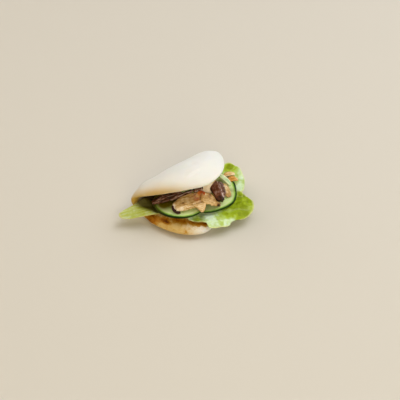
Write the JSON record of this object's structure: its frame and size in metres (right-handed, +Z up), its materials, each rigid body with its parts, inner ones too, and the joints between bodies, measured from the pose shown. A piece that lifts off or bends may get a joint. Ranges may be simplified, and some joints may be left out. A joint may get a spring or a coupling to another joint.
{
  "type": "bao bun",
  "caption": "Folded steamed bun, open in front, filled with lettuce leaves, cucumber slices and glazed mushroom pieces.",
  "frame": {"origin": "middle of the bounding box's bottom, on the surface that the bun rests on", "axes": "+X along the fold, from the torn leaf that sticks out towards the two slivers; +Y from the open front to the fold; +Z up"},
  "size_m": [0.132, 0.0842, 0.0522],
  "materials": {
    "steamed dough": "steamed white wheat dough, satin, toasted brown inside near the front",
    "lettuce": "fresh leaf, pale rib and bright green blade, satin",
    "cucumber": "wet pale green flesh with a thin dark green skin",
    "mushroom flesh": "cooked mushroom, tan brown, lightly glazed",
    "mushroom skin": "dark brown glazed mushroom skin, glossy",
    "red glaze": "sticky red-orange sauce, glossy",
    "spring onion": "pale green onion strip, moist",
    "fried sliver": "thin tan-orange fried sliver, satin"
  },
  "bodies": {
    "root": {"bun": "steamed dough", "lettuce_left": "lettuce", "lettuce_front": "lettuce", "lettuce_back": "lettuce", "cucumber_right": "cucumber", "cucumber_left": "cucumber", "mushroom_slab": "mushroom flesh", "mushroom_wedge": "mushroom flesh", "mushroom_tongue": "mushroom flesh", "mushroom_rear": "mushroom flesh", "mushroom_cap": "mushroom skin", "mushroom_edge": "mushroom flesh", "mushroom_stem": "mushroom skin", "mushroom_strip_left": "mushroom skin", "mushroom_strip_middle": "mushroom skin", "glazed_strip": "red glaze", "onion_strip": "spring onion", "sliver_upper": "fried sliver", "sliver_lower": "fried sliver"}
  },
  "joints": []
}
